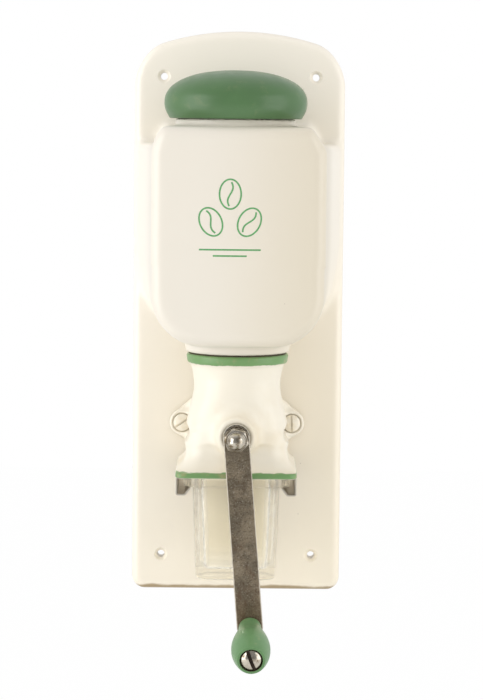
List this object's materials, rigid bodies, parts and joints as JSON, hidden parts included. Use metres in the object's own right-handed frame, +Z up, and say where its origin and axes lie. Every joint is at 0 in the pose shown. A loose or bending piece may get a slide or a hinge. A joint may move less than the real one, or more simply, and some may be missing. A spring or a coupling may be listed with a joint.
{
  "type": "hand crank coffee grinder",
  "caption": "Wall-mounted hand crank coffee mill: ceramic backplate and lidded bean hopper, enamelled cast burr mill, flat steel crank with a turned knob, and a glass drawer in folded rails.",
  "frame": {"origin": "the middle of the four wall-screw holes, on the wall's surface (the backplate's back face)", "axes": "+X to the right seen from the front, +Y into the wall, +Z up"},
  "size_m": [0.144, 0.1938, 0.4088],
  "materials": {
    "glazed_ceramic": "cream glaze, glossy, finely speckled",
    "cream_enamel": "thick cream enamel on cast iron, green painted flange edges",
    "painted_screws": "slotted screws painted over with the casting",
    "gasket_rubber": "matt",
    "zinc_steel": "dull zinc plate",
    "bare_iron": "as cast, oiled",
    "burr_iron": "hardened and ground",
    "bronze": "turned bronze",
    "nickel_plate": "worn nickel plate",
    "polished_nickel": "polished nickel, tarnished at the edges",
    "turned_steel": "turned",
    "worn_steel": "nickel worn through to brown patina",
    "green_painted_wood": "satin green paint on turned wood, worn at the edges",
    "bare_wood": "turned beech",
    "brass_screw": "plain",
    "pressed_glass": "clear pressed glass with a green tint at the edges"
  },
  "bodies": {
    "root": {"ceramic_body": "glazed_ceramic", "throat_gasket": "gasket_rubber", "mill_housing": "cream_enamel", "housing_screws": "painted_screws", "housing_washers": "zinc_steel", "housing_nuts": "zinc_steel", "rear_cover": "bare_iron", "rear_cover_screws": "zinc_steel", "rear_bush": "bronze", "front_bush": "bronze", "outer_burr": "burr_iron", "outer_burr_grub_screw": "zinc_steel", "thrust_washer": "bronze", "rail_left": "nickel_plate", "rail_right": "nickel_plate", "rail_screws": "nickel_plate"},
    "crank": {"main_shaft": "turned_steel", "inner_burr": "burr_iron", "burr_pin": "turned_steel", "feed_worm": "bare_iron", "shaft_spring": "turned_steel", "crank_arm": "worn_steel", "crank_nut": "polished_nickel", "knob_spindle": "polished_nickel", "spindle_nut": "zinc_steel", "knob_washer": "bronze"},
    "adjuster": {"adjusting_nut": "turned_steel"},
    "grip": {"knob": "green_painted_wood"},
    "lid": {"lid_cap": "green_painted_wood", "lid_plug": "bare_wood", "lid_screw": "brass_screw"},
    "drawer": {"drawer_glass": "pressed_glass"}
  },
  "joints": [
    {"name": "crank_turn", "type": "hinge", "parent": "root", "child": "crank", "pos_m": [0, -0.118, -0.0715], "axis": [0, -1, 0], "continuous": true},
    {"name": "knob_spin", "type": "hinge", "parent": "crank", "child": "grip", "pos_m": [0.00992, -0.131, -0.19209], "axis": [0.0135, -0.9863, -0.1645], "continuous": true},
    {"name": "grind_adjust", "type": "hinge", "parent": "crank", "child": "adjuster", "pos_m": [0, -0.114, -0.0715], "axis": [0, -1, 0], "range_deg": [-180, 180]},
    {"name": "lid_lift", "type": "slide", "parent": "root", "child": "lid", "axis": [0, 0, 1], "range_m": [0, 0.06]},
    {"name": "drawer_slide", "type": "slide", "parent": "root", "child": "drawer", "axis": [0, -1, 0], "range_m": [0, 0.02]}
  ]
}
